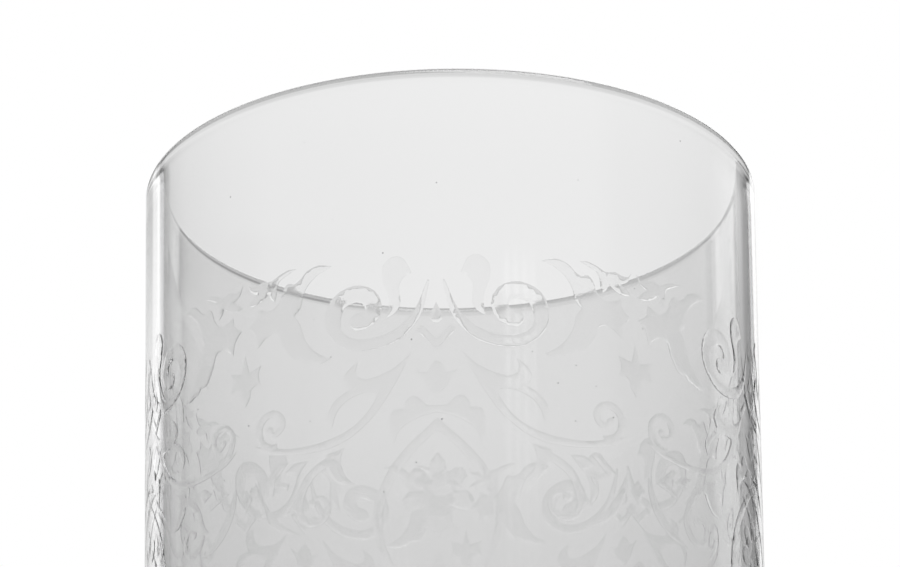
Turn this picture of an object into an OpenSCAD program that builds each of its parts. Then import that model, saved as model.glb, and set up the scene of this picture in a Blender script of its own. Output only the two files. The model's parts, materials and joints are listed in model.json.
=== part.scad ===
// A heavy-based drinking tumbler of clear glass with a band of scrollwork raised on its wall.
// The foot stands on the plane z = 0 and the axis of the glass is the Z axis. Sizes are in millimetres.

/* [Glass] */
// Height from the table to the top of the lip
height = 94; // [86:1:120]
// Outer diameter of the wall line at the lip
rim_d = 84; // [76:0.5:96]
// Outer diameter of the wall line at the table
foot_d = 79.2; // [72:0.1:84]
// Thickness of the wall
wall = 2.4; // [1.6:0.1:4]
// Thickness of the base at the middle, over the hollow of the foot
base_t = 11; // [6:0.5:18]

/* [Foot and corners] */
// Radius between the inside wall and the inside floor
floor_r = 9; // [4:0.5:16]
// Radius of the outer edge of the foot
heel_r = 2.6; // [1:0.1:5]
// Depth of the hollow under the foot
punt_depth = 1.2; // [0.6:0.1:2.5]
// Width of the flat ring that the glass stands on
ring_w = 5; // [3:0.5:9]

/* [Ornament] */
// How far the ornament stands out from the wall
relief = 0.2; // [0.1:0.05:0.5]
// Number of times the ornament repeats round the glass
repeats = 5; // [4:1:6]
// Plain band between the lip and the top of the ornament
lip_band = 25; // [14:0.5:30]
// Height of the ornament from its top to its lowest leaf tip
ornament_h = 54; // [40:1:58]

/* [Scrolls] */
// Width of the big volute's band where it runs under the curl
volute_w = 1.5; // [1:0.1:1.9]
// Width of the big volute's band where it runs over the curl
crown_w = 2.2; // [1.5:0.1:2.4]
// Radius of the round end of a volute
eye_r = 1.1; // [0.7:0.05:1.2]
// Width of the curl at the end of a scroll stem
curl_w = 0.95; // [0.6:0.05:1.2]
// Width of the lower scrolls
scroll_w = 1.1; // [0.7:0.1:1.4]
// Width of a band at its thin free tip
tip_w = 0.3; // [0.2:0.05:0.5]

/* [Hidden] */
$fn = 180;

// The wall line: its lean, and its outer and inner radius at a height
lean = atan((rim_d - foot_d) / 2 / height);
function wall_r(z) = foot_d / 2 + z * tan(lean);
function bore_r(z) = wall_r(z) - wall;

// The rounded lip is as wide as the wall
lip_r = wall / 2 * cos(lean);
lip_c = [wall_r(height - lip_r) - wall / 2, height - lip_r];

// The inside floor, the heel and the ring between the heel and the hollow of the foot
floor_z = base_t + punt_depth;
floor_c = [bore_r(floor_z + floor_r) - floor_r / cos(lean), floor_z + floor_r];
heel_c = [wall_r(heel_r) - heel_r / cos(lean), heel_r];
punt_a = heel_c[0] - ring_w;
punt_sphere_r = (punt_a * punt_a + punt_depth * punt_depth) / (2 * punt_depth);
punt_steps = 6;
function punt_point(x) = [x, punt_depth - punt_sphere_r + sqrt(punt_sphere_r * punt_sphere_r - x * x)];

// Motifs are drawn flat on half a repeat: u from the axis of the repeat, v up from the lowest leaf tip
panel_w = 26;
panel_h = 54;
half_turn = 180 / repeats;
foot_z = height - lip_band - ornament_h;
function height_of(v) = foot_z + v * ornament_h / panel_h;
function turn_of(u) = u / panel_w * half_turn;

// Length to spare where one shape cuts another
spare = 1;

// Longest step along a drawn curve, steps in a turn of a spiral, degrees in a step of the section's arcs
step_len = 0.85;
turn_steps = 16;
arc_step = 9;

// A flat drawing as sideways distance and height, seen square on from the middle of its motif
function seen(points, middle) = [
    for (p = points)
        [wall_r(height_of(p[1])) * sin(turn_of(p[0] - middle)), height_of(p[1])]
];
function middle_of(points) =
    let (u = [for (p = points) p[0]])
    (min(u) + max(u)) / 2;

// An arc with both its ends
function arc(c, r, from, to) =
    let (n = ceil(abs(to - from) / arc_step))
    [for (i = [0 : n]) let (a = from + (to - from) * i / n) c + r * [cos(a), sin(a)]];

// A smooth curve through a row of points, without its last point
function curve_point(a, b, c, d, t) =
    b + t * (c - a) / 2
    + t * t * (2 * a - 5 * b + 4 * c - d) / 2
    + t * t * t * (3 * b - a - 3 * c + d) / 2;
function curve(p) = [
    for (i = [0 : len(p) - 2])
        let (
            before = i > 0 ? p[i - 1] : 2 * p[0] - p[1],
            after = i < len(p) - 2 ? p[i + 2] : 2 * p[i + 1] - p[i],
            n = ceil(norm(p[i + 1] - p[i]) / step_len)
        )
        for (s = [0 : n - 1])
            curve_point(before, p[i], p[i + 1], after, s / n)
];

// Smooth stretches laid end to end: each runs on to the first point of the next, the last to an end point
function stretched(stretches, end) = [
    for (i = [0 : len(stretches) - 1])
        let (next = i < len(stretches) - 1 ? stretches[i + 1][0] : end)
        each (curve(concat(stretches[i], [next])))
];

// A closed outline, and one made from a right half that starts and ends on the axis of its motif
function outline(stretches) = stretched(stretches, stretches[0][0]);
function mirrored(stretches, end) =
    let (right = concat(stretched(stretches, end), [end]))
    concat(right, [for (i = [len(right) - 2 : -1 : 1]) [-right[i][0], right[i][1]]]);

// A spiral about a centre that shrinks evenly from one radius to another
function spiral(c, r0, r1, from, to) =
    let (n = ceil(abs(to - from) / 360 * turn_steps))
    [
        for (i = [0 : n])
            let (a = from + (to - from) * i / n, r = r0 + (r1 - r0) * i / n)
            c + r * [cos(a), sin(a)]
    ];

// A band along a path whose width at each share of the path comes from a short list
function heading(path, i) =
    let (d = path[min(i + 1, len(path) - 1)] - path[max(i - 1, 0)])
    d / norm(d);
function side(path, widths, sign) = [
    for (i = [0 : len(path) - 1])
        let (d = heading(path, i), w = lookup(i / (len(path) - 1), widths))
        path[i] + sign * w / 2 * [-d[1], d[0]]
];
function band(path, widths) =
    let (back = side(path, widths, -1))
    concat(side(path, widths, 1), [for (i = [len(back) - 1 : -1 : 0]) back[i]]);
function end_of(path) = path[len(path) - 1];

// A drawing given as distances back from the axis between two repeats
function from_gap(points) = [for (p = points) [panel_w - p[0], p[1]]];

// A round end for a band, and a drop with its point upward
function disc(c, r) = [for (i = [1 : turn_steps]) let (a = 360 * i / turn_steps) c + r * [cos(a), sin(a)]];
function drop(c, r, point_h) =
    let (free = acos(r / point_h), n = turn_steps / 2)
    concat(
        [c + [0, point_h]],
        [for (i = [0 : n]) let (a = 90 - free - (360 - 2 * free) * i / n) c + r * [cos(a), sin(a)]]
    );

// Leaves drawn beside the axis of a repeat, each stretch from one tip or notch to the next
crest_leaf = [
    [[3.0, 51.3], [3.9, 53.1], [5.3, 53.5], [6.6, 52.3], [6.6, 50.4], [6.0, 48.7], [5.8, 47.2]],
    [[6.1, 45.6], [5.0, 46.2], [4.4, 47.4], [4.5, 48.8], [4.5, 49.9], [3.9, 50.8]]
];
stem_leaf = [
    [[3.2, 40.8], [5.0, 39.2], [7.0, 38.3], [8.8, 37.9]],
    [[9.9, 38.4], [10.1, 39.2]],
    [[9.8, 40.2], [11.2, 39.2], [11.7, 37.9]],
    [[11.1, 36.7], [12.4, 36.0], [13.4, 34.9], [13.8, 33.6]],
    [[13.2, 32.4], [12.8, 33.8], [11.9, 35.0], [10.3, 35.9], [8.7, 36.3]],
    [[7.3, 36.1], [7.8, 34.9], [9.1, 33.2], [10.9, 31.8], [12.9, 31.0], [15.8, 30.5],
     [panel_w - 7.2, 30.5], [panel_w - 3.8, 31.2]],
    [[panel_w - 1.5, 31.8], [panel_w - 3.2, 30.5], [panel_w - 6.2, 29.8], [16.7, 29.5], [13.7, 29.7],
     [11.5, 30.4], [9.7, 31.5], [7.7, 33.3], [6.0, 35.6], [4.5, 38.1]]
];

// Leaves drawn beside the axis between two repeats, as distances back from it
crest_wing = [
    [[7.8, 53.7], [6.7, 53.8], [5.4, 53.4], [4.4, 52.9]],
    [[3.6, 52.9], [2.9, 53.1], [1.9, 52.8], [0.9, 52.8]],
    [[0.4, 53.4], [0.9, 52.2]],
    [[2.0, 51.6], [1.2, 51.1]],
    [[0.5, 50.4], [1.4, 50.2], [2.4, 50.4], [3.2, 50.8]],
    [[3.8, 51.3], [4.1, 50.5]],
    [[4.7, 50.0], [5.0, 51.0], [5.1, 52.0]],
    [[5.4, 52.6], [6.6, 53.2]]
];
acanthus_spray = [
    [[12.8, 53.2], [11.0, 53.6], [9.4, 53.1], [8.5, 52.2]],
    [[7.6, 51.7], [6.7, 52.0], [6.0, 51.3]],
    [[5.7, 50.3], [4.8, 49.2], [3.6, 49.0]],
    [[2.1, 49.6], [1.9, 48.4]],
    [[0.6, 47.4], [1.7, 46.2]],
    [[2.1, 44.5], [3.1, 45.4], [4.3, 45.8], [5.4, 45.3], [5.8, 44.0]],
    [[6.6, 42.7], [7.3, 41.9]],
    [[8.5, 41.9], [9.1, 41.2]],
    [[9.9, 41.1], [11.1, 40.7]],
    [[12.6, 41.1], [10.4, 42.5], [9.0, 44.5], [8.4, 46.4]],
    [[7.6, 47.5], [8.5, 48.4], [8.8, 49.7], [9.4, 51.0], [10.8, 52.3]]
];
calyx = [
    [[14.3, 29.5], [13.8, 28.2], [14.0, 26.8], [14.7, 25.7]],
    [[15.7, 24.9], [14.0, 24.9], [12.6, 26.0], [11.9, 27.6]],
    [[12.0, 29.0], [13.1, 29.2]]
];
scroll_spur = [
    [[8.8, 25.4], [7.9, 24.1]],
    [[6.6, 22.5], [7.8, 22.6]],
    [[8.7, 22.9]]
];
crescent = [
    [[1.6, 27.2], [1.7, 24.9], [3.0, 22.2], [5.4, 20.2]],
    [[8.3, 19.5], [5.7, 21.2], [3.8, 23.3], [2.6, 25.3]]
];

// Right halves of the motifs that stand on an axis, from the top down
lancet = [
    [[0, 16.4], [0.7, 14.4], [1.5, 11.6], [1.9, 8.4], [1.4, 5.3], [0.6, 2.8]]
];
floret = [
    [[0, 43.9], [0.3, 42.7]],
    [[0.6, 41.6], [1.5, 41.8]],
    [[2.5, 42.1], [2.1, 40.9]],
    [[2.5, 39.7], [1.6, 39.7]],
    [[0.8, 39.2], [0.8, 38.4]]
];
tulip = [
    [[0, 39.8], [0.7, 39.2]],
    [[1.1, 38.3], [1.7, 38.3]],
    [[2.5, 38.6], [1.7, 37.7], [1.2, 36.5]]
];
wing_leaf = [
    [[0, 34.1], [1.2, 34.1], [2.1, 35.0], [3.0, 35.4], [3.8, 34.8]],
    [[4.1, 33.8], [5.4, 33.7], [5.9, 32.4], [5.8, 30.9]],
    [[5.4, 29.5], [4.7, 31.1], [3.4, 32.1], [1.7, 32.8]]
];
ogee_arch = [
    [[0, 32.5], [1.6, 31.0], [3.7, 29.1], [6.0, 26.3], [7.6, 22.8], [8.1, 19.5], [7.3, 16.3]],
    [[5.1, 13.4], [6.3, 16.5], [6.9, 19.4], [6.5, 22.4], [5.1, 25.4], [3.0, 28.1], [1.3, 29.9]]
];
palmette = [
    [[0, 28.2], [0.9, 27.0], [1.0, 25.7]],
    [[0.8, 24.7], [1.8, 26.0], [3.0, 26.2], [3.6, 25.1], [3.0, 24.0]],
    [[2.1, 23.3], [3.4, 23.4], [4.4, 22.4], [4.0, 21.1], [2.8, 20.9]],
    [[1.5, 21.5], [1.4, 20.2]],
    [[2.4, 18.5], [1.1, 18.8]]
];

// Paths of the bands, from a thin tip or a root to the curl that ends them, and their widths along the way
volute_path = concat(
    curve([[0.9, 50.2], [1.9, 46.9], [3.0, 45.0], [5.1, 43.2], [7.8, 42.4], [10.5, 42.6], [12.5, 44.0],
           [13.1, 46.1], [12.3, 48.2], [10.2, 49.1], [8.4, 48.5], [7.8, 47.1], [8.4, 45.8], [9.7, 45.4]]),
    [[9.7, 45.4]]
);
volute_widths = [
    [0, tip_w], [0.15, volute_w * 2 / 3], [0.3, volute_w], [0.55, volute_w], [0.66, crown_w], [1, 2 * eye_r]
];
curl_path = spiral([panel_w - 4.4, 33.7], 2.7, 0.6, -100, 330);
curl_widths = [[0, curl_w], [0.6, curl_w], [1, curl_w / 2]];
scroll_path = concat(
    curve([[13.1, 28.2], [11.4, 27.7], [9.7, 26.5], [8.4, 24.7]]),
    spiral([10.6, 22.6], 2.6, 0.8, 155, 500)
);
scroll_widths = [[0, scroll_w], [0.5, scroll_w], [1, scroll_w / 2]];
foot_scroll_path = concat(
    curve([[4.2, 2.4], [6.6, 4.4], [8.4, 7.6], [9.9, 11.0], [12.0, 13.2]]),
    spiral([14.4, 9.4], 4.2, 1.0, 95, -290)
);
foot_scroll_widths = [[0, tip_w], [0.3, scroll_w], [0.6, scroll_w], [1, scroll_w / 2]];

// Motifs with straight edges, and the drop over the upper chevron
chevron = [[0, 42.6], [1.8, 44.4], [2.5, 43.7], [0, 41.2], [-2.5, 43.7], [-1.8, 44.4]];
keystone_drop = drop([0, 45.4], 0.8, 1.9);
dart = [[9.4, 28.5], [7.6, 28.6], [6.1, 27.5], [7.8, 26.6]];
arrow = [[6.6, 28.8], [5.5, 29.0], [2.9, 26.7], [6.5, 25.3], [6.8, 26.1], [4.7, 26.8]];
diamond = [[0, 26.6], [1.1, 25.1], [0, 23.6], [-1.1, 25.1]];
small_chevron = [[0, 22.2], [1.3, 23.4], [1.8, 22.7], [0, 21.0], [-1.8, 22.7], [-1.3, 23.4]];

// The skin of the wall that the ornament fills: the wall's own cone and one a relief further out
module wall_skin() {
    top = height_of(panel_h + spare);
    bottom = height_of(-spare);
    tall = top - bottom;
    translate([0, 0, bottom])
        difference() {
            cylinder(h = tall, r1 = wall_r(bottom) + relief, r2 = wall_r(top) + relief);
            translate([0, 0, -spare])
                cylinder(h = tall + 2 * spare, r1 = wall_r(bottom - spare), r2 = wall_r(top + spare));
        }
}

// Flat drawings pressed onto the wall, square on at the turn of a place u
module on_wall(drawings, u, middle) {
    reach = max(rim_d, foot_d) / 2 + relief + spare;
    intersection() {
        wall_skin();
        rotate([0, 0, turn_of(u)])
            rotate([90, 0, 0])
                linear_extrude(reach)
                    for (points = drawings)
                        polygon(seen(points, middle));
    }
}

// Drawings that are symmetric about an axis, once in each repeat
module on_axis(drawings, u = 0) {
    for (i = [0 : repeats - 1])
        rotate([0, 0, 2 * half_turn * i])
            on_wall(drawings, u, 0);
}

// Drawings beside the axis, as a mirrored pair in each repeat
module in_pairs(drawings) {
    middle = middle_of(drawings[0]);
    for (i = [0 : repeats - 1])
        rotate([0, 0, 2 * half_turn * i])
            for (flip = [0, 1])
                mirror([flip, 0, 0])
                    on_wall(drawings, middle, middle);
}

// The section of the glass: hollow of the foot, heel, outer wall, lip, inner wall and floor corner
module glass_section() {
    polygon(concat(
        [for (i = [0 : punt_steps]) punt_point(punt_a * i / punt_steps)],
        arc(heel_c, heel_r, -90, -lean),
        arc(lip_c, lip_r, -lean, 180 - lean),
        arc(floor_c, floor_r, -lean, -90),
        [[0, floor_z]]
    ));
}

module tumbler_body() {
    color("gainsboro", 0.5)
        rotate_extrude()
            glass_section();
}

module crest_leaves() {
    color("lightgray")
        in_pairs([outline(crest_leaf)]);
}

module crest_wings() {
    color("silver")
        in_pairs([from_gap(outline(crest_wing))]);
}

module volutes() {
    color("lightgray")
        in_pairs([band(volute_path, volute_widths), disc(end_of(volute_path), eye_r)]);
}

module keystones() {
    color("silver")
        on_axis([keystone_drop, chevron]);
}

module acanthus_sprays() {
    color("lightgray")
        in_pairs([from_gap(outline(acanthus_spray))]);
}

module florets() {
    color("silver")
        on_axis([mirrored(floret, [0, 37.2])], panel_w);
}

module tulip_buds() {
    color("silver")
        on_axis([mirrored(tulip, [0, 35.4])]);
}

module wing_leaves() {
    color("lightgray")
        on_axis([mirrored(wing_leaf, [0, 33.2])]);
}

module scroll_stems() {
    color("lightgray")
        in_pairs([outline(stem_leaf), band(curl_path, curl_widths), disc(end_of(curl_path), curl_w / 2)]);
}

module ogee_arches() {
    color("silver")
        on_axis([mirrored(ogee_arch, [0, 30.9])]);
}

module palmettes() {
    color("lightgray")
        on_axis([mirrored(palmette, [0, 17.6])]);
}

module lower_scrolls() {
    color("lightgray")
        in_pairs([
            from_gap(outline(calyx)), from_gap(outline(scroll_spur)),
            from_gap(band(scroll_path, scroll_widths)), from_gap(disc(end_of(scroll_path), scroll_w / 2))
        ]);
}

module darts() {
    color("silver")
        in_pairs([from_gap(dart), from_gap(arrow)]);
}

module crescents() {
    color("lightgray")
        in_pairs([from_gap(outline(crescent))]);
}

module diamonds() {
    color("silver")
        on_axis([diamond, small_chevron], panel_w);
}

module foot_scrolls() {
    color("lightgray")
        in_pairs([
            band(foot_scroll_path, foot_scroll_widths), disc(end_of(foot_scroll_path), scroll_w / 2)
        ]);
}

module foot_leaves() {
    color("silver")
        for (u = [0, panel_w])
            on_axis([mirrored(lancet, [0, 0])], u);
}

tumbler_body();
crest_leaves();
crest_wings();
volutes();
keystones();
acanthus_sprays();
florets();
tulip_buds();
wing_leaves();
scroll_stems();
ogee_arches();
palmettes();
lower_scrolls();
darts();
crescents();
diamonds();
foot_scrolls();
foot_leaves();
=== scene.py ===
"""A clear glass tumbler with raised scrollwork on its wall, dressed and lit as in a white studio."""

import json
import logging
import math
from dataclasses import dataclass
from enum import Enum

import bpy
import numpy as np
from mathutils import Matrix, Vector
from mathutils.geometry import delaunay_2d_cdt


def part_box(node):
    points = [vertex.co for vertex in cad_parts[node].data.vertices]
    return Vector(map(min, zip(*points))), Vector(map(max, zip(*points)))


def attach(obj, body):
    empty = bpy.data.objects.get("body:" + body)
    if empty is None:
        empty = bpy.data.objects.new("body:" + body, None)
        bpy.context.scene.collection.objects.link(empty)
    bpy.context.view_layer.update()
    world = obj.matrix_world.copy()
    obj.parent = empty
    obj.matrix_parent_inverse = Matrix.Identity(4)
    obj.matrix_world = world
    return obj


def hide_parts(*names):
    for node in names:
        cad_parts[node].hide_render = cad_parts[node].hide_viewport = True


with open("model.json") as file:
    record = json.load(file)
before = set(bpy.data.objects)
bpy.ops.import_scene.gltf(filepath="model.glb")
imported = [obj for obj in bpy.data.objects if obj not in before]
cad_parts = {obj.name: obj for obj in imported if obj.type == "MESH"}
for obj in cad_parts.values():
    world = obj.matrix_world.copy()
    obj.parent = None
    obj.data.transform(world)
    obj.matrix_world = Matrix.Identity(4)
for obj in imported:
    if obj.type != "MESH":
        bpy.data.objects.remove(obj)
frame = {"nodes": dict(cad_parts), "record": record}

log = logging.getLogger("tumbler")

Socket = bpy.types.NodeSocket
Span = tuple[float, float]
Stops = tuple[tuple[float, float], ...]
Points = list[tuple[float, float]]

MM = 0.001
TINY = 1e-12
CONVEX_HULL = 0


class Slot(Enum):
    """Material slots of the record."""

    CLEAR_GLASS = "clear_glass"
    RAISED_ORNAMENT = "raised_ornament"


class Depth(Enum):
    """How far each row of the ornament stands off the wall, in millimetres."""

    CREST = 0.0145
    MIDDLE = 0.012
    LOWER = 0.009


ROWS = {
    "crest_leaves": Depth.CREST,
    "crest_wings": Depth.CREST,
    "volutes": Depth.CREST,
    "keystones": Depth.CREST,
    "acanthus_sprays": Depth.CREST,
    "florets": Depth.MIDDLE,
    "tulip_buds": Depth.MIDDLE,
    "wing_leaves": Depth.MIDDLE,
    "scroll_stems": Depth.MIDDLE,
}


class Blend(Enum):
    """What a Mix node blends: its data type, its two inputs and its output."""

    NUMBERS = ("FLOAT", 2, 3, 0)
    COLOURS = ("RGBA", 6, 7, 2)


def grey(level: float) -> tuple[float, float, float, float]:
    """A grey colour of a given level."""
    return (level, level, level, 1.0)


class Wiring:
    """Adds nodes to one node tree and joins their sockets."""

    def __init__(self, tree: bpy.types.NodeTree) -> None:
        """Keeps the tree that the nodes go into."""
        self.tree = tree

    @classmethod
    def blank(cls, owner: bpy.types.Material | bpy.types.World) -> "Wiring":
        """Empties the node tree of a material or a world.

        Args:
            owner: the material or the world.

        Returns:
            The wiring of its empty tree.
        """
        owner.use_nodes = True
        owner.node_tree.nodes.clear()
        return cls(owner.node_tree)

    def add(self, kind: str, inputs: dict | None = None, **settings: object) -> bpy.types.Node:
        """Adds one node.

        Args:
            kind: the node's Blender type.
            inputs: for each input's name or number, a socket to join to it or a plain value.
            settings: the node's own properties.

        Returns:
            The new node.
        """
        node = self.tree.nodes.new(kind)
        for name, value in settings.items():
            setattr(node, name, value)
        for name, value in (inputs or {}).items():
            if isinstance(value, Socket):
                self.tree.links.new(value, node.inputs[name])
            else:
                node.inputs[name].default_value = value
        return node

    def math(self, operation: str, *values: Socket | float) -> Socket:
        """Adds a Math node.

        Args:
            operation: the sum that it does.
            values: its sockets or plain numbers.

        Returns:
            The result's socket.
        """
        node = self.add("ShaderNodeMath", dict(enumerate(values)), operation=operation)
        return node.outputs["Value"]

    def spread(self, value: Socket, span: Span, result: Span = (0.0, 1.0)) -> Socket:
        """Adds a smooth Map Range node.

        Args:
            value: the socket to map.
            span: the two values between which the result changes.
            result: the results at those two values and beyond them.

        Returns:
            The result's socket.
        """
        inputs = {"Value": value, 1: span[0], 2: span[1], 3: result[0], 4: result[1]}
        node = self.add("ShaderNodeMapRange", inputs, interpolation_type="SMOOTHSTEP")
        return node.outputs["Result"]

    def mix(self, share: Socket, first: object, second: object, blend: Blend = Blend.NUMBERS) -> Socket:
        """Adds a Mix node.

        Args:
            share: how much of the second value shows, from 0 to 1.
            first: a socket or a plain value.
            second: a socket or a plain value.
            blend: whether numbers or colours are mixed.

        Returns:
            The result's socket.
        """
        data_type, low, high, result = blend.value
        inputs = {"Factor": share, low: first, high: second}
        return self.add("ShaderNodeMix", inputs, data_type=data_type).outputs[result]

    def graph(self, value: Socket, stops: Stops) -> Socket:
        """Adds a grey Color Ramp over the range of its own stops.

        Args:
            value: the socket that runs along the ramp.
            stops: pairs of value and brightness, in rising order.

        Returns:
            The ramp's colour socket.
        """
        low, high = stops[0][0], stops[-1][0]
        reach = high - low
        share = self.math("MULTIPLY_ADD", value, 1 / reach, -low / reach)
        node = self.add("ShaderNodeValToRGB", {"Fac": share})
        node.color_ramp.interpolation = "EASE"
        elements = node.color_ramp.elements
        while len(elements) < len(stops):
            elements.new(0.5)
        for element, (place, level) in zip(elements, stops):
            element.position = (place - low) / reach
            element.color = grey(level)
        return node.outputs["Color"]

    def bearing(self, vector: Socket) -> Socket:
        """Bearing of a place or a direction in degrees, 0 being behind the glass and 90 on its right.

        Args:
            vector: the place or the direction.

        Returns:
            The bearing's socket.
        """
        axes = self.add("ShaderNodeSeparateXYZ", {"Vector": vector}).outputs
        return self.math("DEGREES", self.math("ARCTAN2", axes["X"], axes["Y"]))


class SurfaceEffects:
    """Shader node groups that the glass and its ornament share."""

    WIPE_DRAWN = (1.0, 1.0, 3.5)
    WIPE_DETAIL = 4.0
    WIPE_BAND = (0.42, 0.72)
    SWELL_SCALE = 70.0
    SWELL_DETAIL = 1.0
    GRAIN_DETAIL = 2.0

    def __init__(self) -> None:
        """Builds each group once."""
        self.wipe_marks = self._wipe_marks()
        self.melt_ripple = self._melt_ripple()
        self.seeds = self._seeds()

    @staticmethod
    def _group(name: str, inputs: dict[str, float], output: str) -> tuple[Wiring, bpy.types.Node]:
        """Starts a node group with number inputs and one number output.

        Args:
            name: the group's name.
            inputs: each input's name and usual value.
            output: the output's name.

        Returns:
            The group's wiring and its input node.
        """
        tree = bpy.data.node_groups.new(name, "ShaderNodeTree")
        for label, value in inputs.items():
            socket = tree.interface.new_socket(label, in_out="INPUT", socket_type="NodeSocketFloat")
            socket.default_value = value
        tree.interface.new_socket(output, in_out="OUTPUT", socket_type="NodeSocketFloat")
        wiring = Wiring(tree)
        return wiring, wiring.add("NodeGroupInput")

    @classmethod
    def _wipe_marks(cls) -> bpy.types.NodeTree:
        """Faint cloth marks, drawn out round the glass, that vary the roughness.

        Returns:
            The node group, with the output Roughness.
        """
        wiring, given = cls._group("wipe_marks", {"Base": 0.02, "Reach": 0.02, "Scale": 60.0}, "Roughness")
        place = wiring.add("ShaderNodeTexCoord").outputs["Object"]
        drawn = wiring.add("ShaderNodeMapping", {"Vector": place, "Scale": cls.WIPE_DRAWN})
        noise = wiring.add(
            "ShaderNodeTexNoise",
            {"Vector": drawn.outputs["Vector"], "Scale": given.outputs["Scale"], "Detail": cls.WIPE_DETAIL},
        )
        share = wiring.spread(noise.outputs["Fac"], cls.WIPE_BAND)
        rough = wiring.math("MULTIPLY_ADD", share, given.outputs["Reach"], given.outputs["Base"])
        wiring.add("NodeGroupOutput", {"Roughness": rough})
        return wiring.tree

    @classmethod
    def _melt_ripple(cls) -> bpy.types.NodeTree:
        """A slow swell left in the glass by its making, with finer grain over it.

        Returns:
            The node group, with the output Height.
        """
        usual = {"Swell": 1.0, "Grain": 0.0, "Grain Scale": 5000.0}
        wiring, given = cls._group("melt_ripple", usual, "Height")
        place = wiring.add("ShaderNodeTexCoord").outputs["Object"]
        swell = wiring.add(
            "ShaderNodeTexNoise", {"Vector": place, "Scale": cls.SWELL_SCALE, "Detail": cls.SWELL_DETAIL}
        )
        grain = wiring.add(
            "ShaderNodeTexNoise",
            {"Vector": place, "Scale": given.outputs["Grain Scale"], "Detail": cls.GRAIN_DETAIL},
        )
        slow = wiring.math("MULTIPLY", swell.outputs["Fac"], given.outputs["Swell"])
        height = wiring.math("MULTIPLY_ADD", grain.outputs["Fac"], given.outputs["Grain"], slow)
        wiring.add("NodeGroupOutput", {"Height": height})
        return wiring.tree

    @classmethod
    def _seeds(cls) -> bpy.types.NodeTree:
        """Sparse specks in the glass, most cells of the scatter left empty.

        Returns:
            The node group, with the output Mask.
        """
        wiring, given = cls._group("seeds", {"Scale": 300.0, "Size": 0.035, "Share": 0.3}, "Mask")
        place = wiring.add("ShaderNodeTexCoord").outputs["Object"]
        cells = wiring.add("ShaderNodeTexVoronoi", {"Vector": place, "Scale": given.outputs["Scale"]})
        near = wiring.math("LESS_THAN", cells.outputs["Distance"], given.outputs["Size"])
        draw = wiring.add("ShaderNodeSeparateColor", {"Color": cells.outputs["Color"]}).outputs["Red"]
        kept = wiring.math("LESS_THAN", draw, given.outputs["Share"])
        wiring.add("NodeGroupOutput", {"Mask": wiring.math("MULTIPLY", near, kept)})
        return wiring.tree


@dataclass(frozen=True)
class GlassFinish:
    """Clear glass with faint wipe marks, a slow ripple or a fine grain, and sparse seeds.

    Args:
        name: the material's name.
        tint: grey level of the glass.
        upper_tint: its grey level above the upper zone; on the polished glass this darker level is painted
            shade on the lip.
        upper_zone: heights in metres between which one tint turns into the other.
        speck: grey level of the seeds.
        roughness: roughness between the wipe marks.
        wipe: how much rougher the wipe marks are.
        swell: how much of the slow ripple shows.
        grain: how much of the fine grain shows.
        bump_depth: depth of ripple and grain in metres.
        ior: how strongly the glass bends light.
    """

    name: str
    tint: float
    upper_tint: float
    upper_zone: Span
    speck: float
    roughness: float
    wipe: float
    swell: float
    grain: float
    bump_depth: float
    ior: float = 1.5

    def material(self, effects: SurfaceEffects) -> bpy.types.Material:
        """Builds the material.

        Args:
            effects: the shared node groups.

        Returns:
            The new material.
        """
        made = bpy.data.materials.new(self.name)
        wiring = Wiring.blank(made)
        wipe = wiring.add(
            "ShaderNodeGroup", {"Base": self.roughness, "Reach": self.wipe}, node_tree=effects.wipe_marks
        )
        seeds = wiring.add("ShaderNodeGroup", node_tree=effects.seeds)
        ripple = wiring.add(
            "ShaderNodeGroup", {"Swell": self.swell, "Grain": self.grain}, node_tree=effects.melt_ripple
        )
        place = wiring.add("ShaderNodeTexCoord").outputs["Object"]
        height = wiring.add("ShaderNodeSeparateXYZ", {"Vector": place}).outputs["Z"]
        # Above the upper zone the tint turns darker; on the polished glass this is painted shade on the lip,
        # standing in for the rim's dark lines.
        upper = wiring.spread(height, self.upper_zone)
        tint = wiring.mix(upper, grey(self.tint), grey(self.upper_tint), Blend.COLOURS)
        colour = wiring.mix(seeds.outputs["Mask"], tint, grey(self.speck), Blend.COLOURS)
        bump = wiring.add(
            "ShaderNodeBump",
            {"Height": ripple.outputs["Height"], "Distance": self.bump_depth, "Strength": 1.0},
        )
        shader = wiring.add(
            "ShaderNodeBsdfPrincipled",
            {
                "Base Color": colour,
                "Roughness": wipe.outputs["Roughness"],
                "Normal": bump.outputs["Normal"],
                "IOR": self.ior,
                "Transmission Weight": 1.0,
                "Metallic": 0.0,
            },
        )
        wiring.add("ShaderNodeOutputMaterial", {"Surface": shader.outputs["BSDF"]})
        return made


POLISHED = GlassFinish(
    name="polished_glass",
    tint=0.87,
    # The darker tint from 93 mm up is painted shade on the lip, which draws the dark lines along the rim.
    upper_tint=0.59,
    upper_zone=(0.0930, 0.0938),
    speck=0.25,
    roughness=0.0,
    wipe=0.006,
    swell=1.0,
    grain=0.0,
    bump_depth=0.0000025,
)
SATIN = GlassFinish(
    name="satin_glass",
    tint=0.983,
    upper_tint=0.974,
    upper_zone=(0.025, 0.045),
    speck=0.3,
    roughness=0.015,
    wipe=0.02,
    swell=0.0,
    grain=1.0,
    bump_depth=0.0000015,
)


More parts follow.
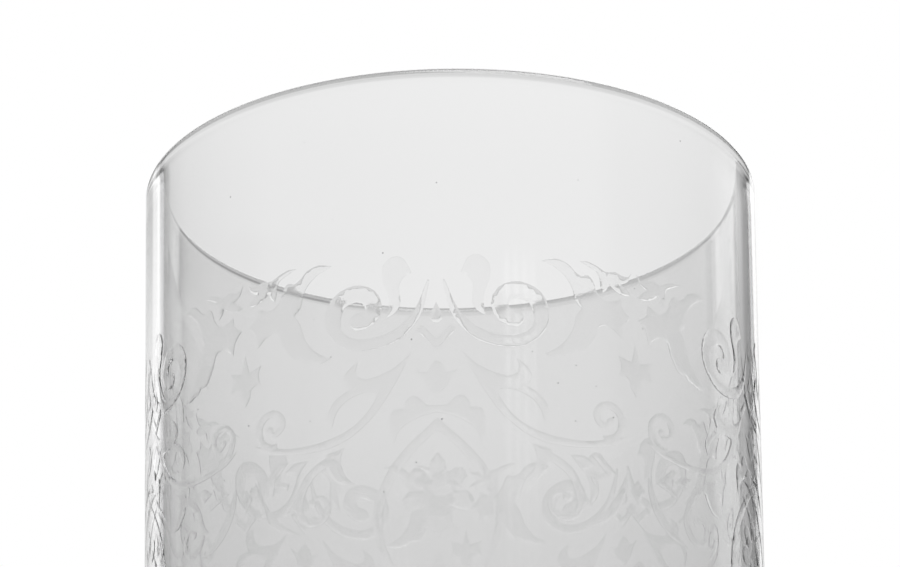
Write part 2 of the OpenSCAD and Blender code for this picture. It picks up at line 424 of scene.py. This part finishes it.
@dataclass
class TumblerBody:
    """The glass itself: one lathe of foot, heel, wall, lip, bore and floor. Sizes are in millimetres.

    Args:
        height: height of the glass.
        rim_r: outer radius of the wall's line at the rim.
        flare: how much wider that radius is than the one at the table.
        wall: thickness of the wall, measured level.
        base: least thickness of the base, over the middle of the hollow.
        floor_round: radius of the corner between wall and floor, inside.
        heel_round: radius of the corner between wall and foot, outside.
        punt_depth: depth of the hollow under the foot.
        ring_w: width of the ring that the glass stands on.
        segments: number of faces round the axis.
        arc_step: most degrees between two points of a round corner.
        punt_points: number of points across the hollow.
        ring_points: number of points inside the standing ring.
        wall_points: number of points up each side of the wall.
        floor_points: number of points inside the flat of the floor.
        node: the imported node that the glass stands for.
    """

    height: float
    rim_r: float = 42.0
    flare: float = 2.4
    wall: float = 2.4
    base: float = 11.0
    floor_round: float = 9.0
    heel_round: float = 2.6
    punt_depth: float = 1.2
    ring_w: float = 5.0
    segments: int = 384
    arc_step: float = 4.0
    punt_points: int = 14
    ring_points: int = 3
    wall_points: int = 16
    floor_points: int = 5
    node: str = "tumbler_body"

    @classmethod
    def from_frame(cls) -> "TumblerBody":
        """The body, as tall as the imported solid."""
        return cls(height=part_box("tumbler_body")[1].z / MM)

    @property
    def foot_r(self) -> float:
        """Radius at which the wall's line meets the table."""
        return self.rim_r - self.flare

    @property
    def lean(self) -> float:
        """Angle of the wall from upright, in radians."""
        return math.atan2(self.flare, self.height)

    def wall_radius(self, z: np.ndarray | float) -> np.ndarray | float:
        """Outer radius of the wall's line at a height."""
        return self.foot_r + z * math.tan(self.lean)

    def _arc(self, middle: tuple[float, float], radius: float, start: float, end: float) -> Points:
        """Points of a round corner of the section.

        Args:
            middle: radius and height of its centre.
            radius: its radius.
            start: its first angle, in degrees.
            end: its last angle, in degrees.

        Returns:
            Pairs of radius and height.
        """
        steps = max(2, math.ceil(abs(end - start) / self.arc_step))
        angles = np.radians(np.linspace(start, end, steps + 1))
        return [(middle[0] + radius * math.cos(a), middle[1] + radius * math.sin(a)) for a in angles]

    @staticmethod
    def _straight(start: tuple[float, float], end: tuple[float, float], count: int) -> Points:
        """Points inside a straight stretch, closer together at both ends to keep its shading flat.

        Args:
            start: radius and height where it starts.
            end: radius and height where it ends.
            count: number of points.

        Returns:
            Pairs of radius and height, without the two ends.
        """
        shares = (1 - np.cos(np.linspace(0, math.pi, count + 2)[1:-1])) / 2
        return [tuple(np.add(start, share * np.subtract(end, start))) for share in shares]

    def section(self) -> np.ndarray:
        """Half section from the middle of the foot round the lip to the middle of the floor.

        Returns:
            Rows of radius and height.
        """
        lean = math.degrees(self.lean)
        slant = math.cos(self.lean)
        lip_round = self.wall / 2 * slant
        lip_z = self.height - lip_round
        lip = (self.wall_radius(lip_z) - self.wall / 2, lip_z)
        floor_z = self.base + self.punt_depth
        corner_z = floor_z + self.floor_round
        corner = (self.wall_radius(corner_z) - self.wall - self.floor_round / slant, corner_z)
        heel = (self.wall_radius(self.heel_round) - self.heel_round / slant, self.heel_round)
        punt_r = heel[0] - self.ring_w
        bowl = (punt_r**2 + self.punt_depth**2) / (2 * self.punt_depth)
        reach = np.linspace(0, punt_r, self.punt_points)
        punt = [(x, self.punt_depth - bowl + math.sqrt(bowl**2 - x**2)) for x in reach]
        outer = self._arc(heel, self.heel_round, -90, -lean)
        top = self._arc(lip, lip_round, -lean, 180 - lean)
        inner = self._arc(corner, self.floor_round, -lean, -90)
        return np.array(
            punt
            + self._straight(punt[-1], outer[0], self.ring_points)
            + outer
            + self._straight(outer[-1], top[0], self.wall_points)
            + top
            + self._straight(top[-1], inner[0], self.wall_points)
            + inner
            + self._straight(inner[-1], (0.0, floor_z), self.floor_points)
            + [(0.0, floor_z)]
        )

    def build(self) -> bpy.types.Object:
        """Turns the section round the axis.

        Returns:
            The mesh object, shaded smooth.
        """
        section = self.section()
        rings = section[1:-1]
        turn = np.linspace(0, 2 * math.pi, self.segments, endpoint=False)
        spread = np.stack([np.cos(turn), np.sin(turn)], axis=1)
        places = [(0.0, 0.0, section[0, 1])]
        for radius, z in rings:
            places.extend((radius * c, radius * s, z) for c, s in spread)
        places.append((0.0, 0.0, section[-1, 1]))
        last = len(places) - 1
        faces = []
        for i in range(self.segments):
            j = (i + 1) % self.segments
            faces.append((0, 1 + j, 1 + i))
            for ring in range(len(rings) - 1):
                low = 1 + ring * self.segments
                high = low + self.segments
                faces.append((low + i, low + j, high + j, high + i))
            top = 1 + (len(rings) - 1) * self.segments
            faces.append((top + i, top + j, last))
        return new_piece("tumbler_glass", np.array(places) * MM, faces)

    def dress(self, piece: bpy.types.Object, finish: bpy.types.Material) -> None:
        """Gives the glass its finish and its place in the frame."""
        settle(piece, finish, self.node)


@dataclass
class FlatIsland:
    """One raised motif laid flat. Sizes are in millimetres.

    Args:
        outline: rows of sideways distance from its middle, and height.
        bearing: bearing of its middle in radians, 0 being in front.
        radius: radius of the wall at its middle.
        batch: number of points that are measured at a time.
    """

    outline: np.ndarray
    bearing: float
    radius: float
    batch: int = 256

    def ends(self) -> np.ndarray:
        """End points of the outline's edges, which start at the outline's own points."""
        return np.roll(self.outline, -1, axis=0)

    def depth(self, points: np.ndarray) -> np.ndarray:
        """Distance of points from the nearest edge, a batch of points at a time.

        Args:
            points: rows of sideways distance and height.

        Returns:
            One distance for each point.
        """
        along = self.ends() - self.outline
        square = np.maximum((along**2).sum(axis=1), TINY)
        nearest = np.empty(len(points))
        for row in range(0, len(points), self.batch):
            offset = points[row:row + self.batch, None, :] - self.outline
            share = np.clip((offset * along).sum(axis=2) / square, 0, 1)
            gap = offset - share[:, :, None] * along
            nearest[row:row + self.batch] = np.sqrt((gap**2).sum(axis=2).min(axis=1))
        return nearest

    def holds(self, points: np.ndarray) -> np.ndarray:
        """Tells which points lie inside the outline.

        Args:
            points: rows of sideways distance and height.

        Returns:
            One truth value for each point.
        """
        start, end = self.outline, self.ends()
        x, y = points[:, :1], points[:, 1:]
        spans = (start[:, 1] > y) != (end[:, 1] > y)
        rise = np.where(start[:, 1] == end[:, 1], 1.0, end[:, 1] - start[:, 1])
        crossing = start[:, 0] + (y - start[:, 1]) / rise * (end[:, 0] - start[:, 0])
        return (spans & (x < crossing)).sum(axis=1) % 2 == 1


@dataclass
class RaisedMotif:
    """One kind of raised motif: low closed islands with rounded shoulders. Sizes are in millimetres.

    Args:
        node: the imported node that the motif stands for.
        body: the glass that it sits on.
        relief: how far its top stands off the wall.
        shoulder: distance from the edge over which it rises.
        sunk: how far its underside lies inside the wall.
        edge_step: longest distance between points of an outline.
        fill_step: distance between points on the top.
        floor_step: distance between points on the underside.
        corner_turn: turns of an outline of more degrees than this stay sharp.
        insets: distances from the edge of the points that shape the shoulder.
        inset_kept: share of its inset below which such a point, in a narrow tip, is left out.
        skin_facing: least cosine of the angle that a triangle of the skin turns from facing outward.
        weld_digits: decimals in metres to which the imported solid's corners are joined.
        weld_gap: distance within which points of a sheet are joined.
    """

    node: str
    body: TumblerBody
    relief: float
    shoulder: float = 0.05
    sunk: float = 0.05
    edge_step: float = 0.26
    fill_step: float = 0.62
    floor_step: float = 1.2
    corner_turn: float = 34.0
    insets: tuple[float, ...] = (0.022, 0.05)
    inset_kept: float = 0.93
    skin_facing: float = 0.8
    weld_digits: int = 7
    weld_gap: float = 1e-5

    def outlines(self) -> list[FlatIsland]:
        """Reads the outlines of the node's islands from the skin that faces outward.

        Returns:
            One flat island for each solid of the node.
        """
        mesh = frame["nodes"][self.node].data
        mesh.calc_loop_triangles()
        places = np.empty(len(mesh.vertices) * 3)
        mesh.vertices.foreach_get("co", places)
        corners = np.empty(len(mesh.loop_triangles) * 3, dtype=np.int32)
        mesh.loop_triangles.foreach_get("vertices", corners)
        placed = np.round(places.reshape(-1, 3), self.weld_digits)
        welded, index = np.unique(placed, axis=0, return_inverse=True)
        triangles = index.reshape(-1)[corners].reshape(-1, 3)
        tips = welded[triangles]
        normal = np.cross(tips[:, 1] - tips[:, 0], tips[:, 2] - tips[:, 0])
        outward = tips.mean(axis=1) * (1, 1, 0)
        facing = (normal * outward).sum(axis=1)
        facing /= np.linalg.norm(normal, axis=1) * np.linalg.norm(outward, axis=1) + TINY * MM
        skin = triangles[facing > self.skin_facing]
        edges = {(a, b) for t in skin.tolist() for a, b in ((t[0], t[1]), (t[1], t[2]), (t[2], t[0]))}
        follow = {a: b for a, b in edges if (b, a) not in edges}
        return [self._flatten(welded[ring] / MM) for ring in chained(follow)]

    def _flatten(self, ring: np.ndarray) -> FlatIsland:
        """Lays one loop flat about its own middle.

        Args:
            ring: rows of x, y and z round the loop.

        Returns:
            The island, with its outline rounded between its corners.
        """
        middle = ring.mean(axis=0)
        bearing = math.atan2(middle[0], -middle[1])
        turn = np.arctan2(ring[:, 0], -ring[:, 1]) - bearing
        turn = (turn + math.pi) % (2 * math.pi) - math.pi
        radius = float(self.body.wall_radius(middle[2]))
        flat = np.stack([turn * radius, ring[:, 2]], axis=1)
        return FlatIsland(rounded(flat, self.edge_step, self.corner_turn), bearing, radius)

    def _inner_points(self, island: FlatIsland) -> np.ndarray:
        """Points along the shoulder and over the flat top of an island.

        Args:
            island: the flat island.

        Returns:
            Rows of sideways distance and height.
        """
        loop = island.outline
        ahead = np.roll(loop, -1, axis=0) - np.roll(loop, 1, axis=0)
        inward = np.stack([-ahead[:, 1], ahead[:, 0]], axis=1)
        inward /= np.linalg.norm(inward, axis=1, keepdims=True) + TINY
        found = []
        for inset in self.insets:
            tried = loop + inward * inset
            found.append(tried[island.depth(tried) > self.inset_kept * inset])
        shoulder = thinned(np.concatenate(found), self.edge_step / 2)
        fill = self._grid(island, self.fill_step, self.insets[-1] + self.edge_step / 2)
        points = np.concatenate([shoulder, fill])
        return points[island.holds(points)]

    @staticmethod
    def _grid(island: FlatIsland, step: float, margin: float) -> np.ndarray:
        """Staggered rows of points that keep a margin from the edge.

        Args:
            island: the flat island.
            step: distance between points.
            margin: least distance from the edge.

        Returns:
            Rows of sideways distance and height.
        """
        low, high = island.outline.min(axis=0), island.outline.max(axis=0)
        rows = np.arange(low[1], high[1], step * math.sqrt(3) / 2)
        columns = np.arange(low[0], high[0], step)
        points = np.array([(x + step / 2 * (k % 2), y) for k, y in enumerate(rows) for x in columns])
        points = points[island.holds(points)]
        return points[island.depth(points) > margin]

    def _sheet(self, island: FlatIsland, inner: np.ndarray) -> tuple[np.ndarray, list, np.ndarray]:
        """Fills an island's outline with triangles.

        Args:
            island: the flat island.
            inner: points inside it.

        Returns:
            The points used, the triangles, and the place of each outline point among the points.
        """
        count = len(island.outline)
        points = [Vector(p) for p in np.concatenate([island.outline, inner]).tolist()]
        edges = [(i, (i + 1) % count) for i in range(count)]
        spots, _, faces, sources = delaunay_2d_cdt(points, edges, [], CONVEX_HULL, self.weld_gap, True)[:4]
        where = np.zeros(count, dtype=int)
        for spot, given in enumerate(sources):
            for source in given:
                if source < count:
                    where[source] = spot
        flat = np.array([tuple(p) for p in spots])
        corners = np.array([tuple(f) for f in faces])
        inside = island.holds(flat[corners].mean(axis=1))
        return flat, corners[inside].tolist(), where

    def _lifted(self, island: FlatIsland, flat: np.ndarray, rise: np.ndarray | float) -> np.ndarray:
        """Wraps flat points round the wall.

        Args:
            island: the flat island.
            flat: rows of sideways distance and height.
            rise: how far each point stands off the wall.

        Returns:
            Rows of x, y and z.
        """
        turn = island.bearing + flat[:, 0] / island.radius
        radius = self.body.wall_radius(flat[:, 1]) + rise
        return np.stack([radius * np.sin(turn), -radius * np.cos(turn), flat[:, 1]], axis=1)

    def build(self) -> bpy.types.Object:
        """Builds every island of the motif as a closed low relief.

        Returns:
            The mesh object, smooth but for the rims of each island's top and of its sunk underside.
        """
        places: list[np.ndarray] = []
        faces: list[tuple[int, ...]] = []
        sharp: list[tuple[int, int]] = []
        count = 0
        for island in self.outlines():
            top, top_faces, rim = self._sheet(island, self._inner_points(island))
            sparse = self._grid(island, self.floor_step, self.floor_step / 3)
            under, under_faces, sill = self._sheet(island, sparse)
            share = np.minimum(island.depth(top) / self.shoulder, 1)
            places.append(self._lifted(island, top, self.relief * np.sin(math.pi / 2 * share) ** 2))
            places.append(self._lifted(island, under, -self.sunk))
            below = count + len(top)
            faces += [tuple(count + i for i in f) for f in top_faces]
            faces += [tuple(below + i for i in reversed(f)) for f in under_faces]
            for a in range(len(rim)):
                b = (a + 1) % len(rim)
                sill_edge = (below + sill[a], below + sill[b])
                rim_edge = (count + rim[b], count + rim[a])
                faces.append(sill_edge + rim_edge)
                sharp += [rim_edge, sill_edge]
            count = below + len(under)
        piece = new_piece(f"{self.node}_relief", np.concatenate(places) * MM, faces)
        marked = {tuple(sorted(int(i) for i in pair)) for pair in sharp}
        for edge in piece.data.edges:
            edge.use_edge_sharp = tuple(sorted(edge.vertices)) in marked
        return piece

    def dress(self, piece: bpy.types.Object, finish: bpy.types.Material) -> None:
        """Gives the motif its finish and its place in the frame."""
        settle(piece, finish, self.node)


def new_piece(name: str, places: np.ndarray, faces: list) -> bpy.types.Object:
    """Makes a smooth mesh object in the scene.

    Args:
        name: the object's name.
        places: rows of x, y and z in metres.
        faces: corner numbers of each face.

    Returns:
        The new object.
    """
    mesh = bpy.data.meshes.new(name)
    mesh.from_pydata(places.tolist(), [], faces)
    mesh.validate()
    mesh.shade_smooth()
    piece = bpy.data.objects.new(name, mesh)
    bpy.context.scene.collection.objects.link(piece)
    return piece


def settle(piece: bpy.types.Object, finish: bpy.types.Material, node: str) -> None:
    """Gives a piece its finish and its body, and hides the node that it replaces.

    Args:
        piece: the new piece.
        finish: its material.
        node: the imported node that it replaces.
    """
    piece.data.materials.append(finish)
    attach(piece, "root")
    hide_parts(node)


def chained(follow: dict[int, int]) -> list[list[int]]:
    """Joins directed edges into closed loops.

    Args:
        follow: for each corner, the next one.

    Returns:
        The corners of each loop in order.
    """
    rings = []
    left = dict(sorted(follow.items()))
    while left:
        first, at = left.popitem()
        ring = [first]
        while at != first:
            ring.append(at)
            at = left.pop(at)
        rings.append(ring)
    return rings


def rounded(loop: np.ndarray, step: float, corner_turn: float) -> np.ndarray:
    """Runs a smooth curve through a closed outline, keeping its corners.

    Args:
        loop: rows of the outline's points.
        step: longest distance between the new points.
        corner_turn: turns of more degrees than this stay sharp.

    Returns:
        Rows of the finer outline.
    """
    before, after = np.roll(loop, 1, axis=0), np.roll(loop, -1, axis=0)
    arrive, leave = loop - before, after - loop
    cross = arrive[:, 0] * leave[:, 1] - arrive[:, 1] * leave[:, 0]
    turn = np.abs(np.degrees(np.arctan2(cross, (arrive * leave).sum(axis=1))))
    sharp = turn > corner_turn
    made = []
    for i, (start, end) in enumerate(zip(loop, after)):
        j = (i + 1) % len(loop)
        lead = 2 * start - end if sharp[i] else before[i]
        trail = 2 * end - start if sharp[j] else after[j]
        steps = max(1, math.ceil(np.linalg.norm(end - start) / step))
        for t in np.arange(steps) / steps:
            made.append(
                start + t * (end - lead) / 2
                + t**2 * (2 * lead - 5 * start + 4 * end - trail) / 2
                + t**3 * (3 * start - lead - 3 * end + trail) / 2
            )
    return np.array(made)


def thinned(points: np.ndarray, cell: float) -> np.ndarray:
    """Keeps one point in each cell of a square grid.

    Args:
        points: rows of sideways distance and height.
        cell: size of a cell.

    Returns:
        The kept rows.
    """
    keys = np.floor(points / cell).astype(int)
    return points[np.sort(np.unique(keys, axis=0, return_index=True)[1])]


@dataclass(frozen=True)
class Ring:
    """Brightness all round the glass, from one height angle upward. Angles are in degrees.

    Args:
        blend: height angles where the ring starts to show and where it has taken over from the one below.
        around: bearings, 0 being behind the glass, and how bright each is.
    """

    blend: Span
    around: Stops


@dataclass(frozen=True)
class SlattedWindow:
    """A window behind the camera, which the front of the glass mirrors as upright streaks.

    Args:
        middle: bearing of its middle, in degrees.
        half: half its width, in degrees.
        edge: share of that half at which its sides start to fade.
        rise: height angles at which it has come up from below and at which it ends.
        fades: how many degrees its lower and its upper end take to fade.
        slats: number of bright slats.
        slat_edge: how far the slats' wave falls to be all dark, and rises to be all bright.
        slat_dark: brightness between the slats.
        strength: brightness of the slats.
    """

    middle: float = 153.0
    half: float = 6.5
    edge: float = 0.85
    rise: Span = (19.0, 20.5)
    fades: Span = (7.0, 1.0)
    slats: float = 4.0
    slat_edge: float = 0.6
    slat_dark: float = 0.2
    strength: float = 0.64

    def light(self, wiring: Wiring, up: Socket, bearing: Socket) -> Socket:
        """Adds the window's nodes.

        Args:
            wiring: the world's wiring.
            up: height angle of a direction.
            bearing: bearing of a direction.

        Returns:
            The light that the window adds.
        """
        across = wiring.math("DIVIDE", wiring.math("SUBTRACT", bearing, self.middle), self.half)
        inside = wiring.spread(wiring.math("ABSOLUTE", across), (self.edge, 1.0), (1.0, 0.0))
        wave = wiring.math("SINE", wiring.math("MULTIPLY", across, self.slats * math.pi))
        slats = wiring.spread(wave, (-self.slat_edge, self.slat_edge), (self.slat_dark, 1.0))
        low = wiring.spread(up, (self.rise[0] - self.fades[0], self.rise[0]))
        high = wiring.spread(up, (self.rise[1] - self.fades[1], self.rise[1]), (1.0, 0.0))
        tall = wiring.math("MULTIPLY", low, high)
        wide = wiring.math("MULTIPLY", inside, slats)
        return wiring.math("MULTIPLY", wiring.math("MULTIPLY", tall, wide), self.strength)


@dataclass
class WhiteSurround:
    """White behind the glass, with soft panels, shades and a window round it that only the glass shows.

    The narrow bright and dark stops from 16 to 52 degrees to either side draw the lines down the sides of
    the glass and the dashes at the ends of its lip.

    Args:
        rise: height angles in degrees and how bright each is.
        lowest: bearings in degrees and how bright each is, from straight down to the first ring.
        rings: what takes over from it, from the lowest ring upward.
        window: the window behind the camera.
    """

    rise: Stops = (
        (-90, 0.93), (0, 0.93), (3, 0.92), (6, 0.9), (9, 0.87), (12, 0.845), (17, 0.855), (20, 0.945),
        (22, 0.962), (24, 0.965), (28, 1.01), (29, 1.2), (30, 1.56), (48, 1.56), (62, 1.04), (90, 0.94),
    )
    lowest: Stops = (
        (-180, 1.0), (-82, 1.0), (-62, 0.6), (-30, 0.48), (-9, 0.46), (-5, 0.78), (0, 0.82), (5, 0.82),
        (8, 0.72), (16, 0.7), (30, 0.72), (34, 0.7), (40, 0.36), (49, 0.36), (55, 0.72), (62, 0.75),
        (82, 1.0), (180, 1.0),
    )
    rings: tuple[Ring, ...] = (
        Ring((0, 6), (
            (-180, 1.0), (-82, 1.0), (-62, 0.7), (-52, 0.64), (-51, 0.2), (-44, 0.2), (-43, 0.6),
            (-30, 0.55), (-9, 0.54), (-5, 1.0), (0, 1.05), (5, 1.05), (8, 0.9), (16, 0.88), (30, 0.9),
            (62, 0.95), (82, 1.0), (180, 1.0),
        )),
        Ring((6, 12), (
            (-180, 0.8), (-115, 0.7), (-100, 0.5), (-62, 0.45), (-50, 0.45), (-48.5, 0.28), (-44, 0.28),
            (-43, 0.8), (-40.2, 0.9), (-38.5, 1.45), (-35, 1.45), (-32, 1.02), (-27, 0.98), (-14, 0.98),
            (0, 1.0), (7, 0.98), (11, 1.0), (16, 1.3), (22.4, 1.4), (22.6, 0.02), (27, 0.03), (28.5, 0.26),
            (31, 0.44), (35, 0.58), (39, 0.62), (46, 0.56), (75, 0.42), (110, 0.5), (125, 0.8), (180, 0.8),
        )),
        Ring((20, 24), (
            (-180, 0.8), (-115, 0.75), (-100, 0.68), (-50, 0.66), (-47.5, 0.1), (-43.4, 0.1), (-42.3, 0.84),
            (-39.2, 0.86), (-38, 1.5), (-35, 1.5), (-32, 0.78), (-27, 0.64), (-20, 0.7), (-16, 0.86),
            (-12, 0.94), (0, 1.0), (7, 0.98), (11, 1.08), (16, 1.4), (22.4, 1.5), (22.6, 0.02), (27, 0.03),
            (28.5, 0.3), (31, 0.52), (35, 0.75), (39, 0.88), (46, 0.84), (75, 0.65), (110, 0.65), (125, 0.8),
            (180, 0.8),
        )),
        Ring((23.0, 23.6), (
            (-180, 0.8), (-115, 0.75), (-100, 0.68), (-62, 0.68), (-50, 0.66), (-47.5, 0.1), (-43.4, 0.1),
            (-42.3, 0.84), (-39.2, 0.86), (-38, 1.5), (-35, 1.5), (-32, 0.78), (-27, 0.64), (-20, 0.7),
            (-16, 0.86), (-12, 0.94), (-8, 0.98), (0, 1.0), (7, 0.98), (11, 1.08), (16, 1.4), (23.6, 1.5),
            (24.2, 0.1), (28, 0.13), (31.5, 0.34), (36, 0.5), (41, 0.62), (75, 0.65), (110, 0.65),
            (125, 0.8), (180, 0.8),
        )),
    )
    window: SlattedWindow = SlattedWindow()

    def build(self) -> None:
        """Makes the world, plain white but for what the glass mirrors and lets through."""
        world = bpy.data.worlds.new("studio_white")
        bpy.context.scene.world = world
        wiring = Wiring.blank(world)
        toward = wiring.add("ShaderNodeTexCoord").outputs["Generated"]
        height = wiring.add("ShaderNodeSeparateXYZ", {"Vector": toward}).outputs["Z"]
        up = wiring.math("DEGREES", wiring.math("ARCSINE", height))
        bearing = wiring.bearing(toward)
        around = wiring.graph(bearing, self.lowest)
        for ring in self.rings:
            around = wiring.mix(wiring.spread(up, ring.blend), around, wiring.graph(bearing, ring.around))
        panels = wiring.math("MULTIPLY", wiring.graph(up, self.rise), around)
        shade = wiring.math("ADD", panels, self.window.light(wiring, up, bearing))
        path = wiring.add("ShaderNodeLightPath").outputs
        in_glass = wiring.math("MAXIMUM", path["Is Glossy Ray"], path["Is Transmission Ray"])
        colour = wiring.mix(in_glass, 1.0, shade)
        background = wiring.add("ShaderNodeBackground", {"Color": colour, "Strength": 1.0})
        wiring.add("ShaderNodeOutputWorld", {"Surface": background.outputs["Background"]})


@dataclass(frozen=True)
class PaintedFloorShade:
    """A painted shade far out on the floor, which only the glass shows and which draws a dark dash in the
    right corner of the lip.

    Args:
        middle: bearing of its middle, in degrees.
        half: half its width, in degrees.
        soft: how many degrees each side takes to fade.
        start: distances in metres between which its near edge fades in.
        level: how bright it is.
    """

    middle: float = 44.5
    half: float = 4.5
    soft: float = 6.0
    start: Span = (0.4, 0.8)
    level: float = 0.36

    def share(self, wiring: Wiring, away: Socket, bearing: Socket) -> Socket:
        """Adds the painted shade's nodes.

        Args:
            wiring: the floor's wiring.
            away: distance of a place from the middle of the floor.
            bearing: bearing of a place.

        Returns:
            How much of the painted shade is there, from 0 to 1.
        """
        aside = wiring.math("ABSOLUTE", wiring.math("SUBTRACT", bearing, self.middle))
        across = wiring.spread(aside, (self.half, self.half + self.soft), (1.0, 0.0))
        return wiring.math("MULTIPLY", across, wiring.spread(away, self.start))


@dataclass
class PaleFloor:
    """A pale floor that fades to white away from the object and lets the low camera see past it.

    Args:
        size: its width in metres.
        level: how pale it is near the object.
        fade: distances in metres between which it turns white.
        in_glass: distances in metres and how bright the floor glows in the glass there, a painted light that
            is brightest under the glass, where light through it would fall.
        beside: bearings in degrees, to either side, between which that painted glow turns paler.
        beside_level: how bright the painted glow is beyond them.
        painted_floor_shade: the painted shade that lies on it, seen only in the glass.
    """

    size: float = 3.0
    level: float = 0.82
    fade: Span = (0.2, 0.8)
    in_glass: Stops = ((0.0, 0.96), (0.045, 0.96), (0.08, 0.79), (0.3, 0.78), (0.55, 0.74), (1.5, 0.74))
    beside: Span = (50.0, 75.0)
    beside_level: float = 0.93
    painted_floor_shade: PaintedFloorShade = PaintedFloorShade()

    def build(self) -> None:
        """Lays the floor."""
        bpy.ops.mesh.primitive_plane_add(size=self.size)
        floor = bpy.context.active_object
        floor.name = "studio_floor"
        floor.data.materials.append(self._finish())

    def _finish(self) -> bpy.types.Material:
        """Builds the floor's material, which is clear from below.

        Returns:
            The new material.
        """
        made = bpy.data.materials.new("pale_floor")
        wiring = Wiring.blank(made)
        place = wiring.add("ShaderNodeTexCoord").outputs["Object"]
        away = wiring.add("ShaderNodeVectorMath", {0: place}, operation="LENGTH").outputs["Value"]
        near = wiring.add("ShaderNodeBsdfDiffuse", {"Color": grey(self.level)})
        far = wiring.add("ShaderNodeEmission", {"Color": grey(1.0), "Strength": 1.0})
        plain = self._between(wiring, wiring.spread(away, self.fade), near, far)
        # Rays from the glass see the floor glow as painted light, in place of its lit colour and of the
        # glass's shadow on it.
        painted_glow = wiring.add("ShaderNodeEmission", {"Color": self._painted_glow_level(wiring, place, away), "Strength": 1.0})
        seen = wiring.add("ShaderNodeLightPath").outputs["Is Camera Ray"]
        top = self._between(wiring, seen, painted_glow, plain)
        clear = wiring.add("ShaderNodeBsdfTransparent")
        under = wiring.add("ShaderNodeNewGeometry").outputs["Backfacing"]
        both = self._between(wiring, under, top, clear)
        wiring.add("ShaderNodeOutputMaterial", {"Surface": both.outputs["Shader"]})
        return made

    def _painted_glow_level(self, wiring: Wiring, place: Socket, away: Socket) -> Socket:
        """Brightness of the floor as the glass shows it: a painted glow, with a painted shade laid on it.

        Args:
            wiring: the floor's wiring.
            place: a place on the floor.
            away: its distance from the middle.

        Returns:
            The brightness there.
        """
        bearing = wiring.bearing(place)
        aside = wiring.spread(wiring.math("ABSOLUTE", bearing), self.beside)
        paler = wiring.mix(aside, wiring.graph(away, self.in_glass), self.beside_level)
        # A painted shade darkens the glow that the glass shows here, drawing a dark dash in the lip.
        return wiring.mix(self.painted_floor_shade.share(wiring, away, bearing), paler, self.painted_floor_shade.level)

    @staticmethod
    def _between(
        wiring: Wiring, share: Socket, first: bpy.types.Node, second: bpy.types.Node
    ) -> bpy.types.Node:
        """Mixes the shaders of two nodes, share being how much of the second shows."""
        return wiring.add("ShaderNodeMixShader", {0: share, 1: first.outputs[0], 2: second.outputs[0]})


@dataclass(frozen=True)
class SoftLamp:
    """A wide soft lamp that hangs above and faces the glass. Sizes are in metres and its power in watts."""

    name: str = "overhead_soft"
    place: tuple[float, float, float] = (0.25, -0.35, 0.9)
    aim: tuple[float, float, float] = (0.0, 0.0, 0.05)
    size: float = 0.7
    power: float = 6.0

    def hang(self) -> None:
        """Puts the lamp in the scene."""
        data = bpy.data.lights.new(self.name, "AREA")
        data.shape = "SQUARE"
        data.size = self.size
        data.energy = self.power
        lamp = bpy.data.objects.new(self.name, data)
        lamp.location = self.place
        toward = Vector(self.aim) - Vector(self.place)
        lamp.rotation_euler = toward.to_track_quat("-Z", "Y").to_euler()
        bpy.context.scene.collection.objects.link(lamp)


@dataclass
class LowCamera:
    """The camera, below the rim and looking up at the front of the glass.

    Args:
        reach: distance from the axis of the glass, in metres.
        drop: depth below the table, in metres.
        swing: turn about the axis of the glass, in degrees.
        pitch: upward tilt, in degrees.
        yaw: turn to the right, in degrees.
        roll: lean to one side, in degrees.
        lens: focal length, in millimetres.
        sensor: width of the sensor, in millimetres.
        nearest: distance at which it starts to see, in metres.
    """

    reach: float = 0.375
    drop: float = 0.0729
    swing: float = 2.6
    pitch: float = 22.398
    yaw: float = -0.026
    roll: float = -0.6423
    lens: float = 118.36
    sensor: float = 36.0
    nearest: float = 0.01

    def place(self) -> None:
        """Puts the camera in the scene."""
        data = bpy.data.cameras.new("low_camera")
        data.lens = self.lens
        data.sensor_width = self.sensor
        data.clip_start = self.nearest
        camera = bpy.data.objects.new("low_camera", data)
        pitch, yaw, roll = (math.radians(a) for a in (self.pitch, self.yaw, self.roll))
        ahead = Vector((math.sin(yaw) * math.cos(pitch), math.cos(yaw) * math.cos(pitch), math.sin(pitch)))
        right = Vector((math.cos(yaw), -math.sin(yaw), 0.0))
        up = right.cross(ahead)
        tilted_right = right * math.cos(roll) + up * math.sin(roll)
        tilted_up = up * math.cos(roll) - right * math.sin(roll)
        stand = Matrix((tilted_right, tilted_up, -ahead)).transposed().to_4x4()
        stand.translation = Vector((0.0, -self.reach, -self.drop))
        camera.matrix_world = Matrix.Rotation(math.radians(self.swing), 4, "Z") @ stand
        bpy.context.scene.collection.objects.link(camera)
        bpy.context.scene.camera = camera


def main() -> None:
    """Builds the glass, its ornament and the studio, in that order."""
    logging.basicConfig(level=logging.INFO, format="%(name)s: %(message)s")
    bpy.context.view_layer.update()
    effects = SurfaceEffects()
    polished, satin = POLISHED.material(effects), SATIN.material(effects)
    body = TumblerBody.from_frame()
    glass = body.build()
    body.dress(glass, polished)
    log.info("%s: %d faces", glass.name, len(glass.data.polygons))
    for subpart in frame["record"]["subparts"]:
        if subpart["material_slot"] == Slot.RAISED_ORNAMENT.value:
            depth = ROWS.get(subpart["node"], Depth.LOWER)
            motif = RaisedMotif(subpart["node"], body, relief=depth.value)
            relief = motif.build()
            motif.dress(relief, satin)
            log.info("%s: %d faces", relief.name, len(relief.data.polygons))
    bpy.context.scene.view_settings.view_transform = "Standard"
    WhiteSurround().build()
    PaleFloor().build()
    SoftLamp().hang()
    LowCamera().place()


if __name__ == "__main__":
    main()
